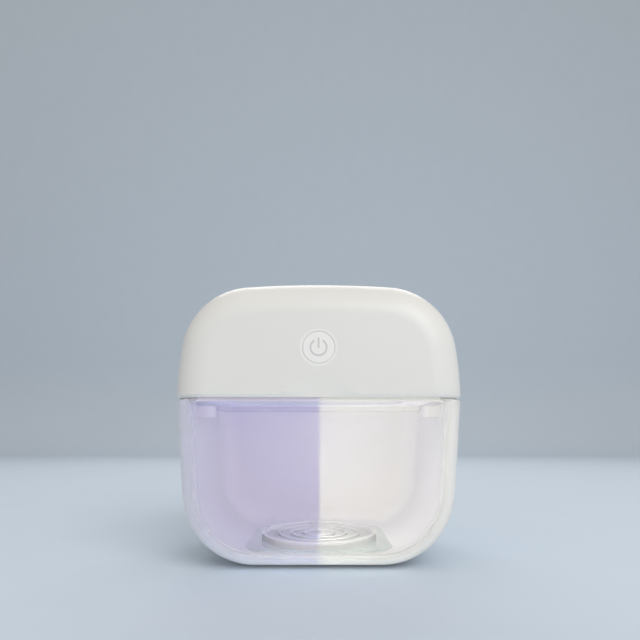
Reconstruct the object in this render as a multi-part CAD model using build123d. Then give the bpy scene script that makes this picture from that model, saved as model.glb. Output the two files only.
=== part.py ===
from build123d import *
import math
import os

# Pacifier sterilizer case: a palm-sized clamshell box that bathes one pacifier in ultraviolet light.
#
# The base is a clear tub around a white reflecting liner, which holds a mirror floor plate and a round
# clear tray. The lid carries the battery, the boards and the lamps above an inner cover, has the round
# power button in its front, and swings back on a rear hinge.
#
# Millimetres, +Z up, front towards -Y. The origin is the middle of the foot pad's underside.

# ---- Case -----------------------------------------------------------------------------------------
WIDTH = 84.0  # at the seam, where the case is widest
DEPTH = 58.0  # front face to back face, without the hinge
HEIGHT = 83.2  # table to the top of the lid
LID_HEIGHT = 34.5  # from the seam up
SEAM_GAP = 0.5
WALL = 2.0
RIM_R = 10.7  # rounding from the front and back faces into the sides
CORE_BEVEL = 6.8  # the same rim inside the walls is a bevel, measured on the outer box
BLANK_MARGIN = 8.0  # how far each half's blank runs past the seam before it is cut

LID_SIDE_R = 100.0
LID_TOP_R = 320.0
LID_CORNER_R = 21.5
LID_EDGE_BEVEL = 0.8

BASE_DRAFT = 4.1  # degrees that the base's sides lean in towards the bottom
BASE_CORNER_R = 21.9
BASE_EDGE_BEVEL = 0.4

SCOOP_WIDTH = 25.0  # thumb scoop in the lid's lower front edge
SCOOP_HEIGHT = 6.0
SCOOP_DEPTH = 1.0

# ---- Hinge ----------------------------------------------------------------------------------------
KNUCKLE_R = 2.6
KNUCKLE_OUTSET = 0.6  # axis behind the back face
KNUCKLE_WEB = 6.0  # how far a web runs along the wall from the axis
LID_KNUCKLE = 12.7
BASE_KNUCKLE = 6.4
HINGE_GAP = 0.3
PIN_R = 0.9
PIN_CLEARANCE = 0.05

# ---- Base pieces ----------------------------------------------------------------------------------
FOOT_LENGTH = 44.0
FOOT_WIDTH = 26.0
FOOT_THICK = 1.3
FOOT_RISE = 0.5  # how far the foot pad lifts the shell off the table
FOOT_CLEARANCE = 0.1

LINER_WALL = 1.5
LINER_CLEARANCE = 0.3
LINER_FLOOR = 1.2  # its floor's thickness under the plate
LINER_WINDOW = 8.2  # this far behind the front face the liner is open down to its floor

POCKET_BORDER = 1.4  # from the liner's outside to the plate's pocket, at the pocket's floor
POCKET_CORNER_R = 10.0
POCKET_DEPTH = 2.0
PLATE_CLEARANCE = 0.3  # to the pocket all round
PLATE_THICK = 0.8

TRAY_R = 19.0
TRAY_WALL = 1.2
TRAY_FLOOR = 1.0
TRAY_HEIGHT = 2.0
TRAY_RING_RADII = (5.0, 9.0, 13.0)
TRAY_RING_WIDTH = 0.9
TRAY_RING_HEIGHT = 0.6

MAGNET_R = 2.0
MAGNET_LENGTH = 2.6
MAGNET_CLEARANCE = 0.05
MAGNET_BOSS_WALL = 0.9
MAGNET_FROM_LINER = 0.6  # between magnet and liner wall
MAGNET_FROM_FRONT = 19.5

# ---- Lid's inner cover and seal -------------------------------------------------------------------
SEAL_WIDTH = 1.2
SEAL_CLEARANCE = 0.4  # to the base's inner wall
SEAL_DROP = 0.8  # below the seam
SEAL_TOP = 1.2  # above the seam, where the cover's flange sits on it
SEAL_TO_LINER = 0.4

COVER_CLEARANCE = 0.3
COVER_THICK = 1.6
RECESS_SIDE_BORDER = 13.0  # from the case's side to the recess
RECESS_FRONT_BORDER = 12.0
RECESS_CORNER_R = 8.0
RECESS_DEPTH = 3.4

COVER_SCREW_SIDE = 7.2  # from the case's side to the screw
COVER_SCREW_FRONT = 12.0
SCREW_SHANK_R = 0.95
SCREW_HEAD_R = 1.7
SCREW_HEAD_HEIGHT = 1.0
SCREW_CLEARANCE = 0.05
COVER_SCREW_LENGTH = 7.0
SCREW_BOSS_R = 2.7

# ---- Lamps ----------------------------------------------------------------------------------------
LAMP_X = 13.0
WINDOW_R = 4.5
WINDOW_THICK = 1.0
WINDOW_SEAT = 1.0  # width of the ledge that the window rests on
WINDOW_CLEARANCE = 0.05
LAMP_SIZE = 3.5
LAMP_HEIGHT = 1.2
LAMP_TO_WINDOW = 0.2
LAMP_TO_SCREW = 7.0
LAMP_BOARD_WIDTH = 13.0
BOARD_THICK = 1.0
LAMP_SCREW_END = 3.0  # from the board's end

# ---- Main board and what it carries ---------------------------------------------------------------
BOARD_SIDE_BORDER = 15.0  # from the case's side to the board
BOARD_FRONT_BORDER = 5.5
BOARD_BACK_BORDER = 4.5
BOARD_TO_BUTTON = 1.6  # board's upper face below the button's axis
BOARD_SCREW_SIDE = 4.5  # in from the recess's side
BOARD_SCREW_FRONT = 2.0
BOARD_SCREW_R = 0.7
BOARD_SCREW_LENGTH = 3.4
BOARD_SCREW_HEAD_R = 1.4
BOARD_SCREW_HEAD_HEIGHT = 0.7
PILLAR_R = 2.1

HEADER_LENGTH = 6.0
HEADER_WIDTH = 2.5
HEADER_Y = 4.5

BATTERY_LENGTH = 44.0
BATTERY_TO_SWITCH = 3.5
BATTERY_TO_PLUG = 2.75
BATTERY_THICK = 8.0
BATTERY_CORNER_R = 1.5
FOAM_THICK = 1.0
FOAM_BORDER = 3.0

PLUG_SIZE = (6.0, 4.5, 3.6)
PLUG_X = -15.0
PLUG_FROM_BACK = 3.5  # from the board's back edge
LEAD_WIDTH = 3.0
LEAD_THICK = 1.0
LEAD_BEND_R = 1.8
LEAD_HEIGHT = 5.6  # the lead leaves the battery this far above its underside

USB_WIDTH = 8.9
USB_HEIGHT = 3.2
USB_LENGTH = 7.4
USB_SHEET = 0.3
USB_RECESS = 0.8  # mouth behind the back face
USB_HOLE_CLEARANCE = 0.35
USB_TONGUE = (6.7, 4.4, 0.7)
USB_BLOCK = 2.2

# ---- Button ---------------------------------------------------------------------------------------
BUTTON_RISE = 14.0  # axis above the seam
BUTTON_R = 4.55
BUTTON_CLEARANCE = 0.1
BUTTON_DEPTH = 2.8
BUTTON_EDGE = 0.25
RING_WIDTH = 0.65
RING_FLANGE_R = 6.4
RING_FLANGE = 0.8
KEEPER_R = 5.6  # flange on the cap that stops it falling out through the ring
KEEPER_THICK = 0.7
KEEPER_GAP = 0.3
STEM_R = 1.6
STEM_LENGTH = 0.5
PLUNGER_R = 1.0
PLUNGER_OUT = 1.4
PLUNGER_IN = 0.4
PLUNGER_ROOM = 0.7  # free depth behind the plunger
PLUNGER_CLEARANCE = 0.06
SWITCH_SIZE = (6.2, 3.8, 3.4)
RING_LED_SIZE = (1.6, 0.9, 0.8)
RING_LED_X = 5.2
HALL_SIZE = (3.0, 1.6, 1.1)
HALL_FROM_END = 0.5  # from the board's end

# ---- Heights and depths that follow ---------------------------------------------------------------
FRONT_Y = -DEPTH / 2
BACK_Y = DEPTH / 2
SEAM_Z = HEIGHT - LID_HEIGHT
BUTTON_Z = SEAM_Z + BUTTON_RISE
BASE_TOP = SEAM_Z - SEAM_GAP / 2
LID_BOTTOM = SEAM_Z + SEAM_GAP / 2
HINGE_Y = BACK_Y + KNUCKLE_OUTSET

LINER_INSET = WALL + LINER_CLEARANCE
LINER_CAVITY = LINER_INSET + LINER_WALL
LINER_WINDOW_Y = FRONT_Y + LINER_WINDOW
LINER_FLOOR_Z = FOOT_RISE + LINER_INSET + LINER_FLOOR
SEAL_BOTTOM_Z = SEAM_Z - SEAL_DROP
LINER_TOP_Z = SEAL_BOTTOM_Z - SEAL_TO_LINER
PLATE_TOP_Z = LINER_FLOOR_Z + PLATE_THICK
MAGNET_X = WIDTH / 2 - LINER_CAVITY - MAGNET_R - MAGNET_FROM_LINER
MAGNET_Y = FRONT_Y + MAGNET_FROM_FRONT

COVER_Z = SEAM_Z + SEAL_TOP
COVER_TOP_Z = COVER_Z + COVER_THICK
RECESS_LENGTH = WIDTH - 2 * RECESS_SIDE_BORDER
RECESS_WIDTH = DEPTH - 2 * RECESS_FRONT_BORDER
RECESS_TOP_Z = COVER_Z + RECESS_DEPTH
COVER_SCREW_X = WIDTH / 2 - COVER_SCREW_SIDE
COVER_SCREW_Y = DEPTH / 2 - COVER_SCREW_FRONT
PAN_TOP_Z = RECESS_TOP_Z + COVER_THICK
WINDOW_Z = PAN_TOP_Z - WINDOW_THICK
LAMP_Z = PAN_TOP_Z + LAMP_TO_WINDOW
LAMP_BOARD_Z = LAMP_Z + LAMP_HEIGHT
LAMP_SCREW_X = LAMP_X + LAMP_TO_SCREW
LAMP_BOARD_LENGTH = 2 * (LAMP_SCREW_X + LAMP_SCREW_END)
BOARD_LENGTH = WIDTH - 2 * BOARD_SIDE_BORDER
BOARD_FRONT_Y = FRONT_Y + BOARD_FRONT_BORDER
BOARD_BACK_Y = BACK_Y - BOARD_BACK_BORDER
BOARD_SCREW_X = RECESS_LENGTH / 2 - BOARD_SCREW_SIDE
BOARD_SCREW_Y = RECESS_WIDTH / 2 - BOARD_SCREW_FRONT
PLUG_Y = BOARD_BACK_Y - PLUG_FROM_BACK
BOARD_TOP_Z = BUTTON_Z - BOARD_TO_BUTTON
BOARD_Z = BOARD_TOP_Z - BOARD_THICK
BATTERY_Z = BOARD_TOP_Z + FOAM_THICK
USB_Z = BOARD_TOP_Z + USB_HEIGHT / 2
USB_MOUTH_Y = BACK_Y - USB_RECESS

RING_BACK_Y = FRONT_Y + WALL + RING_FLANGE
KEEPER_Y = RING_BACK_Y + KEEPER_GAP
STEM_END_Y = KEEPER_Y + KEEPER_THICK + STEM_LENGTH
SWITCH_FRONT_Y = STEM_END_Y + PLUNGER_OUT
BATTERY_FRONT_Y = SWITCH_FRONT_Y + SWITCH_SIZE[1] + BATTERY_TO_SWITCH
BATTERY_BACK_Y = PLUG_Y - PLUG_SIZE[1] / 2 - BATTERY_TO_PLUG
BATTERY_WIDTH = BATTERY_BACK_Y - BATTERY_FRONT_Y
BATTERY_Y = (BATTERY_FRONT_Y + BATTERY_BACK_Y) / 2

SIDES = (-1, 1)
CORNERS = [(x, y) for x in SIDES for y in SIDES]


# ---- Small helpers --------------------------------------------------------------------------------
def block(x, y, z):
    """A box from its extents along each axis, each given as (low, high)."""
    size = [high - low for low, high in (x, y, z)]
    middle = [(high + low) / 2 for low, high in (x, y, z)]
    return Pos(*middle) * Box(*size)


def slab(outline, low, high):
    """A flat outline, drawn in plan, from one height to another."""
    return Pos(0, 0, low) * extrude(outline, amount=high - low)


def post(radius, x, y, low, high):
    """An upright round bar."""
    return Pos(x, y, (low + high) / 2) * Cylinder(radius, high - low)


def rod_x(radius, low, high, y, z):
    """A round bar along X."""
    return Pos((low + high) / 2, y, z) * Rot(Y=90) * Cylinder(radius, high - low)


def rod_y(radius, low, high, x, z):
    """A round bar along Y."""
    return Pos(x, (low + high) / 2, z) * Rot(X=90) * Cylinder(radius, high - low)


def between(form, low, high):
    """The slice of a form between two heights."""
    return form & block((-WIDTH, WIDTH), (-DEPTH, DEPTH), (low, high))


# ---- The case's form ------------------------------------------------------------------------------
def lid_outline(inset):
    """The lid from the front: bowed sides that stand upright at the seam, round corners, a low crown."""
    width = WIDTH - 2 * inset
    outline = Pos(0, (SEAM_Z + HEIGHT) / 2) * Rectangle(width, HEIGHT - SEAM_Z)
    for side in SIDES:
        outline &= Pos(side * (WIDTH / 2 - LID_SIDE_R), SEAM_Z) * Circle(LID_SIDE_R - inset)
    outline &= Pos(0, HEIGHT - LID_TOP_R) * Circle(LID_TOP_R - inset)
    outline = fillet(outline.vertices().group_by(Axis.Y)[-1], LID_CORNER_R - inset)
    return outline + Pos(0, SEAM_Z - BLANK_MARGIN / 2) * Rectangle(width, BLANK_MARGIN)


def base_outline(inset):
    """The base from the front: drafted sides, round corners and a flat bottom."""
    draft = math.radians(BASE_DRAFT)
    half = WIDTH / 2 - inset / math.cos(draft)
    low = FOOT_RISE + inset
    high = SEAM_Z + BLANK_MARGIN
    top = half + BLANK_MARGIN * math.tan(draft)
    bottom = half - (SEAM_Z - low) * math.tan(draft)
    corners = [(-top, high), (-bottom, low), (bottom, low), (top, high)]
    outline = make_face(Polyline(*corners, close=True))
    return fillet(outline.vertices().group_by(Axis.Y)[0], BASE_CORNER_R - inset)


def formed(outline, inset):
    """A front outline thickened to the case's depth, less the inset at each face."""
    back = Plane.XZ.offset(inset - DEPTH / 2)
    return extrude(back * outline, amount=DEPTH - 2 * inset)


def rims(form, cut_z):
    """The front and back edges of a form, without those of its cut-off end at that height."""
    edges = [edge for edge in form.edges() if abs(edge.center().Y) > DEPTH / 4]
    return [edge for edge in edges if abs(edge.center().Z - cut_z) > SEAM_GAP]


def lid_blank():
    """The lid's outside as a solid, with rounded rims, running on below the seam."""
    form = formed(lid_outline(0), 0)
    return fillet(rims(form, SEAM_Z - BLANK_MARGIN), RIM_R)


def base_blank():
    """The base's outside as a solid, with rounded rims, running on above the seam."""
    form = formed(base_outline(0), 0)
    return fillet(rims(form, SEAM_Z + BLANK_MARGIN), RIM_R)


def core_bevel(inset):
    """The rim bevel that keeps bevelled forms of different insets parallel."""
    return CORE_BEVEL - inset * (2 - math.sqrt(2))


def lid_core(inset):
    """The space inside the lid at an inset from its outside, with bevelled rims."""
    form = formed(lid_outline(inset), inset)
    return chamfer(rims(form, SEAM_Z - BLANK_MARGIN), core_bevel(inset))


def base_core(inset):
    """The space inside the base at an inset from its outside, with bevelled rims."""
    form = formed(base_outline(inset), inset)
    return chamfer(rims(form, SEAM_Z + BLANK_MARGIN), core_bevel(inset))


# ---- Hinge ----------------------------------------------------------------------------------------
def knuckle(low, high, upwards):
    """A hinge knuckle from low to high along X, with the web that blends it into a shell's back wall."""
    foot = SEAM_Z + upwards * KNUCKLE_WEB
    wall_middle = BACK_Y - WALL / 2
    barrel = Pos(HINGE_Y, SEAM_Z) * Circle(KNUCKLE_R)
    root = Line((wall_middle, foot - upwards), (wall_middle, foot))
    profile = make_hull([*barrel.edges(), root])
    return Pos(low, 0, 0) * extrude(Plane.YZ * profile, amount=high - low)


def hinge_round(radius, low, high):
    """A round bar on the hinge axis."""
    return rod_x(radius, low, high, HINGE_Y, SEAM_Z)


LID_KNUCKLE_X = LID_KNUCKLE / 2
BASE_KNUCKLE_X = LID_KNUCKLE_X + HINGE_GAP
HINGE_END_X = BASE_KNUCKLE_X + BASE_KNUCKLE
PIN_BORE = hinge_round(PIN_R + PIN_CLEARANCE, -HINGE_END_X - 1, HINGE_END_X + 1)


def hinge_pin():
    """The steel pin through all three knuckles."""
    return hinge_round(PIN_R, -HINGE_END_X, HINGE_END_X)


# ---- Base -----------------------------------------------------------------------------------------
def foot_outline(clearance):
    """The foot pad in plan: a long oval."""
    return SlotOverall(FOOT_LENGTH + 2 * clearance, FOOT_WIDTH + 2 * clearance)


def base_shell():
    """The clear outer tub, with the two outer hinge knuckles and the foot pad's recess."""
    shell = between(base_blank(), 0, BASE_TOP)
    shell = chamfer(shell.faces().sort_by(Axis.Z)[-1].edges(), BASE_EDGE_BEVEL)
    shell -= base_core(WALL)
    shell -= slab(foot_outline(FOOT_CLEARANCE), 0, FOOT_THICK)
    shell -= hinge_round(KNUCKLE_R + HINGE_GAP, -BASE_KNUCKLE_X, BASE_KNUCKLE_X)
    shell += knuckle(BASE_KNUCKLE_X, HINGE_END_X, -1)
    shell += knuckle(-HINGE_END_X, -BASE_KNUCKLE_X, -1)
    return shell - PIN_BORE


def magnet_boss(side):
    """The pad inside the liner's side that holds a magnet, open at its top."""
    radius = MAGNET_R + MAGNET_BOSS_WALL
    low = LINER_TOP_Z - MAGNET_LENGTH - MAGNET_BOSS_WALL
    boss = post(radius, side * MAGNET_X, MAGNET_Y, low, LINER_TOP_Z)
    return boss + block(
        sorted((side * MAGNET_X, side * (MAGNET_X + radius))),
        (MAGNET_Y - radius, MAGNET_Y + radius),
        (low, LINER_TOP_Z),
    )


def plate_pocket(clearance):
    """The pocket's outline in the liner's floor, as wide as its rounded corners leave room for."""
    floor = between(base_core(LINER_INSET), LINER_FLOOR_Z, LINER_TOP_Z).faces().sort_by(Axis.Z)[0]
    size = floor.bounding_box().size
    border = 2 * (POCKET_BORDER + clearance)
    return RectangleRounded(size.X - border, size.Y - border, POCKET_CORNER_R - clearance)


def base_liner():
    """The white reflecting liner: sides, back and a floor with the plate's pocket, open to the front."""
    liner = between(base_core(LINER_INSET), 0, LINER_TOP_Z)
    cavity = base_core(LINER_CAVITY)
    outside = liner
    liner -= cavity
    liner -= slab(plate_pocket(0), LINER_FLOOR_Z, LINER_FLOOR_Z + POCKET_DEPTH)
    window_z = FOOT_RISE + LINER_CAVITY
    liner -= block((-WIDTH, WIDTH), (-DEPTH, LINER_WINDOW_Y), (window_z, HEIGHT))
    for side in SIDES:
        liner += magnet_boss(side) & outside
    for side in SIDES:
        pocket = LINER_TOP_Z - MAGNET_LENGTH
        liner -= post(MAGNET_R + MAGNET_CLEARANCE, side * MAGNET_X, MAGNET_Y, pocket, HEIGHT)
    return liner


def base_magnets():
    """The two closing magnets at the base's rim."""
    low = LINER_TOP_Z - MAGNET_LENGTH
    return [post(MAGNET_R, side * MAGNET_X, MAGNET_Y, low, LINER_TOP_Z) for side in SIDES]


def floor_plate():
    """The mirror plate in the liner's floor pocket."""
    return slab(plate_pocket(PLATE_CLEARANCE), LINER_FLOOR_Z, PLATE_TOP_Z)


def clear_tray():
    """The round clear tray, with a low wall and concentric rings that hold a pacifier's shield up."""
    tray = post(TRAY_R, 0, 0, PLATE_TOP_Z, PLATE_TOP_Z + TRAY_HEIGHT)
    floor = PLATE_TOP_Z + TRAY_FLOOR
    tray -= post(TRAY_R - TRAY_WALL, 0, 0, floor, PLATE_TOP_Z + TRAY_HEIGHT)
    for radius in TRAY_RING_RADII:
        ring = Circle(radius + TRAY_RING_WIDTH / 2) - Circle(radius - TRAY_RING_WIDTH / 2)
        tray += slab(ring, floor, floor + TRAY_RING_HEIGHT)
    return tray


def foot_pad():
    """The soft oval pad that the case stands on."""
    return slab(foot_outline(0), 0, FOOT_THICK)


# ---- Lid ------------------------------------------------------------------------------------------
def thumb_scoop():
    """A ball whose cap, cut from the front face, leaves the scoop's lens shape above the seam."""
    drop = (SCOOP_WIDTH**2 / 4 - SCOOP_HEIGHT**2) / (2 * SCOOP_HEIGHT)
    reach = drop + SCOOP_HEIGHT
    deepest = SCOOP_DEPTH / (1 - (drop / reach) ** 2)
    radius = (reach**2 + deepest**2) / (2 * deepest)
    return Pos(0, FRONT_Y + deepest - radius, SEAM_Z - drop) * Sphere(radius)


def screw_bosses():
    """The columns that the inner cover is screwed to, trimmed to stay inside the lid's wall."""
    trim = lid_core(WALL / 2)
    bosses = []
    for x, y in CORNERS:
        column = post(SCREW_BOSS_R, x * COVER_SCREW_X, y * COVER_SCREW_Y, COVER_TOP_Z, HEIGHT)
        bosses.append(column & trim)
    return bosses


def usb_outline(clearance):
    """The charging socket from behind: a flat slot shape."""
    return SlotOverall(USB_WIDTH + 2 * clearance, USB_HEIGHT + 2 * clearance)


def usb_bar(outline, low, high):
    """That shape from one depth to another."""
    return Pos(0, low, USB_Z) * extrude(Plane.XZ * outline, amount=-(high - low))


def lid_shell():
    """The white lid, with scoop, button hole, charging slot, screw columns and middle knuckle."""
    shell = between(lid_blank(), LID_BOTTOM, HEIGHT + 1)
    shell = chamfer(shell.faces().sort_by(Axis.Z)[0].edges(), LID_EDGE_BEVEL)
    shell -= lid_core(WALL)
    for boss in screw_bosses():
        shell += boss
    for x, y in CORNERS:
        top = COVER_TOP_Z + COVER_SCREW_LENGTH
        radius = SCREW_SHANK_R + SCREW_CLEARANCE
        shell -= post(radius, x * COVER_SCREW_X, y * COVER_SCREW_Y, COVER_TOP_Z, top)
    shell -= thumb_scoop()
    shell -= rod_y(BUTTON_R + BUTTON_CLEARANCE + RING_WIDTH, FRONT_Y - 1, RING_BACK_Y, 0, BUTTON_Z)
    shell -= usb_bar(usb_outline(USB_HOLE_CLEARANCE), BACK_Y - 2 * WALL, BACK_Y + 1)
    shell -= hinge_round(KNUCKLE_R + HINGE_GAP, LID_KNUCKLE_X, HINGE_END_X + HINGE_GAP)
    shell -= hinge_round(KNUCKLE_R + HINGE_GAP, -HINGE_END_X - HINGE_GAP, -LID_KNUCKLE_X)
    shell += knuckle(-LID_KNUCKLE_X, LID_KNUCKLE_X, 1)
    return shell - PIN_BORE


def light_seal():
    """The soft lip around the cover that shuts the light in."""
    inset = WALL + SEAL_CLEARANCE
    outer = between(lid_core(inset), SEAL_BOTTOM_Z, COVER_Z)
    return outer - lid_core(inset + SEAL_WIDTH)


def inner_cover():
    """The white cover under the electronics: a flange, and a raised pan with the lamps' windows."""
    flange = between(lid_core(WALL + COVER_CLEARANCE), COVER_Z, COVER_TOP_Z)
    wall = COVER_THICK
    pan = RectangleRounded(
        RECESS_LENGTH + 2 * wall, RECESS_WIDTH + 2 * wall, RECESS_CORNER_R + wall
    )
    recess = RectangleRounded(RECESS_LENGTH, RECESS_WIDTH, RECESS_CORNER_R)
    cover = flange + slab(pan, COVER_Z, PAN_TOP_Z) - slab(recess, COVER_Z, RECESS_TOP_Z)
    for side in SIDES:
        lamp_x = side * LAMP_X
        cover -= post(WINDOW_R - WINDOW_SEAT, lamp_x, 0, RECESS_TOP_Z, PAN_TOP_Z)
        cover -= post(WINDOW_R + WINDOW_CLEARANCE, lamp_x, 0, WINDOW_Z, PAN_TOP_Z)
        cup = MAGNET_R + MAGNET_BOSS_WALL
        cup_top = COVER_TOP_Z + MAGNET_LENGTH - COVER_THICK / 2
        cover += post(cup, side * MAGNET_X, MAGNET_Y, COVER_TOP_Z, cup_top)
        pocket = COVER_TOP_Z - COVER_THICK / 2
        pocket_r = MAGNET_R + MAGNET_CLEARANCE
        cover -= post(pocket_r, side * MAGNET_X, MAGNET_Y, pocket, cup_top)
    for x, y in CORNERS:
        place = (x * COVER_SCREW_X, y * COVER_SCREW_Y)
        cover -= post(SCREW_SHANK_R + SCREW_CLEARANCE, *place, COVER_Z, COVER_TOP_Z)
        cover -= post(SCREW_HEAD_R + SCREW_CLEARANCE, *place, COVER_Z, COVER_Z + SCREW_HEAD_HEIGHT)
    for x, y in CORNERS:
        cover += post(PILLAR_R, x * BOARD_SCREW_X, y * BOARD_SCREW_Y, PAN_TOP_Z, BOARD_Z)
    for x, y, foot in board_screw_places():
        cover += post(PILLAR_R, x, y, PAN_TOP_Z, foot)
        hole = foot - BOARD_SCREW_LENGTH + BOARD_THICK
        cover -= post(BOARD_SCREW_R + SCREW_CLEARANCE, x, y, hole, foot)
    return cover


def cover_screws():
    """The four screws that hold the inner cover up against the lid's columns."""
    screws = []
    for x, y in CORNERS:
        place = (x * COVER_SCREW_X, y * COVER_SCREW_Y)
        head = post(SCREW_HEAD_R, *place, COVER_Z, COVER_Z + SCREW_HEAD_HEIGHT)
        top = COVER_Z + COVER_SCREW_LENGTH
        screws.append(head + post(SCREW_SHANK_R, *place, COVER_Z, top))
    return screws


def lid_magnets():
    """The two magnets above the base's."""
    low = COVER_TOP_Z - COVER_THICK / 2
    high = low + MAGNET_LENGTH
    return [post(MAGNET_R, side * MAGNET_X, MAGNET_Y, low, high) for side in SIDES]


def lamp_windows():
    """The two quartz windows, each on its ledge in the cover."""
    return [post(WINDOW_R, side * LAMP_X, 0, WINDOW_Z, PAN_TOP_Z) for side in SIDES]


def uv_lamps():
    """The two ultraviolet lamps, hanging from their board."""
    half = LAMP_SIZE / 2
    lamps = []
    for side in SIDES:
        across = (side * LAMP_X - half, side * LAMP_X + half)
        lamps.append(block(across, (-half, half), (LAMP_Z, LAMP_BOARD_Z)))
    return lamps


# ---- Boards ---------------------------------------------------------------------------------------
def board_screw_places():
    """Where a board is screwed to a pillar: x, y and the height of the board's underside."""
    places = [(side * LAMP_SCREW_X, 0, LAMP_BOARD_Z) for side in SIDES]
    return places + [(side * BOARD_SCREW_X, side * BOARD_SCREW_Y, BOARD_Z) for side in SIDES]


def board_screws():
    """The four small screws of the two boards: two each, the main board's on a diagonal."""
    screws = []
    for x, y, foot in board_screw_places():
        top = foot + BOARD_THICK
        head = post(BOARD_SCREW_HEAD_R, x, y, top, top + BOARD_SCREW_HEAD_HEIGHT)
        screws.append(head + post(BOARD_SCREW_R, x, y, top - BOARD_SCREW_LENGTH, top))
    return screws


def lamp_board():
    """The metal-cored board that the lamps sit on."""
    outline = RectangleRounded(LAMP_BOARD_LENGTH, LAMP_BOARD_WIDTH, 1.5)
    board = slab(outline, LAMP_BOARD_Z, LAMP_BOARD_Z + BOARD_THICK)
    for side in SIDES:
        hole_top = LAMP_BOARD_Z + BOARD_THICK
        board -= post(BOARD_SCREW_R + SCREW_CLEARANCE, side * LAMP_SCREW_X, 0, LAMP_BOARD_Z, hole_top)
    return board


def main_board():
    """The control board, from the switch at the front to the charging socket at the back."""
    outline = RectangleRounded(BOARD_LENGTH, BOARD_BACK_Y - BOARD_FRONT_Y, 2.0)
    board = Pos(0, (BOARD_FRONT_Y + BOARD_BACK_Y) / 2) * slab(outline, BOARD_Z, BOARD_TOP_Z)
    for side in SIDES:
        place = (side * BOARD_SCREW_X, side * BOARD_SCREW_Y)
        board -= post(BOARD_SCREW_R + SCREW_CLEARANCE, *place, BOARD_Z, BOARD_TOP_Z)
    return board


def board_header():
    """The pin header that joins the lamp board to the main board."""
    half = HEADER_LENGTH / 2
    across = (HEADER_Y - HEADER_WIDTH / 2, HEADER_Y + HEADER_WIDTH / 2)
    return block((-half, half), across, (LAMP_BOARD_Z + BOARD_THICK, BOARD_Z))


def tact_switch():
    """The switch behind the button, with the pocket that its plunger slides in."""
    length, width, height = SWITCH_SIZE
    depth = (SWITCH_FRONT_Y, SWITCH_FRONT_Y + width)
    body = block((-length / 2, length / 2), depth, (BOARD_TOP_Z, BOARD_TOP_Z + height))
    pocket = SWITCH_FRONT_Y + PLUNGER_IN + PLUNGER_ROOM
    return body - rod_y(PLUNGER_R + PLUNGER_CLEARANCE, SWITCH_FRONT_Y, pocket, 0, BUTTON_Z)


def ring_leds():
    """The two small lights that shine into the ring around the button."""
    length, width, height = RING_LED_SIZE
    leds = []
    for side in SIDES:
        middle = side * RING_LED_X
        across = (middle - length / 2, middle + length / 2)
        depth = (BOARD_FRONT_Y, BOARD_FRONT_Y + width)
        leds.append(block(across, depth, (BOARD_TOP_Z, BOARD_TOP_Z + height)))
    return leds


def hall_sensor():
    """The sensor under the board that feels the base's magnet, so the lamps can't light open."""
    length, width, height = HALL_SIZE
    right = BOARD_LENGTH / 2 - HALL_FROM_END
    across = (right - length, right)
    depth = (MAGNET_Y - width / 2, MAGNET_Y + width / 2)
    return block(across, depth, (BOARD_Z - height, BOARD_Z))


def battery():
    """The flat lithium cell."""
    outline = RectangleRounded(BATTERY_LENGTH, BATTERY_WIDTH, BATTERY_CORNER_R)
    return Pos(0, BATTERY_Y) * slab(outline, BATTERY_Z, BATTERY_Z + BATTERY_THICK)


def battery_pad():
    """The foam tape between battery and board."""
    length = BATTERY_LENGTH - 2 * FOAM_BORDER
    outline = Rectangle(length, BATTERY_WIDTH - 2 * FOAM_BORDER)
    return Pos(0, BATTERY_Y) * slab(outline, BOARD_TOP_Z, BATTERY_Z)


def battery_plug():
    """The battery's plug and socket on the board."""
    length, width, height = PLUG_SIZE
    across = (PLUG_X - length / 2, PLUG_X + length / 2)
    depth = (PLUG_Y - width / 2, PLUG_Y + width / 2)
    return block(across, depth, (BOARD_TOP_Z, BOARD_TOP_Z + height))


def battery_leads():
    """The flat twin lead from the battery's back edge down into the plug."""
    start = (PLUG_X, BATTERY_BACK_Y, BATTERY_Z + LEAD_HEIGHT)
    bend = (PLUG_X, PLUG_Y, BATTERY_Z + LEAD_HEIGHT)
    end = (PLUG_X, PLUG_Y, BOARD_TOP_Z + PLUG_SIZE[2])
    section = Plane(origin=start, x_dir=(1, 0, 0), z_dir=(0, 1, 0)) * Rectangle(LEAD_WIDTH, LEAD_THICK)
    return sweep(section, path=FilletPolyline(start, bend, end, radius=LEAD_BEND_R))


def usb_socket():
    """The charging socket's folded steel can."""
    can = usb_bar(usb_outline(0), USB_MOUTH_Y - USB_LENGTH, USB_MOUTH_Y)
    return can - usb_bar(usb_outline(-USB_SHEET), USB_MOUTH_Y - USB_LENGTH, USB_MOUTH_Y)


def usb_insert():
    """The socket's plastic block, with the tongue that carries the contacts."""
    back = USB_MOUTH_Y - USB_LENGTH
    insert = usb_bar(usb_outline(-USB_SHEET), back, back + USB_BLOCK)
    length, reach, thick = USB_TONGUE
    depth = (back + USB_BLOCK, back + USB_BLOCK + reach)
    return insert + block((-length / 2, length / 2), depth, (USB_Z - thick / 2, USB_Z + thick / 2))


# ---- Button ---------------------------------------------------------------------------------------
def light_ring():
    """The clear ring around the button, pushed in from behind and stopped by its flange."""
    inner = BUTTON_R + BUTTON_CLEARANCE
    ring = rod_y(inner + RING_WIDTH, FRONT_Y, FRONT_Y + WALL, 0, BUTTON_Z)
    ring += rod_y(RING_FLANGE_R, FRONT_Y + WALL, RING_BACK_Y, 0, BUTTON_Z)
    return ring - rod_y(inner, FRONT_Y, RING_BACK_Y, 0, BUTTON_Z)


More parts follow.
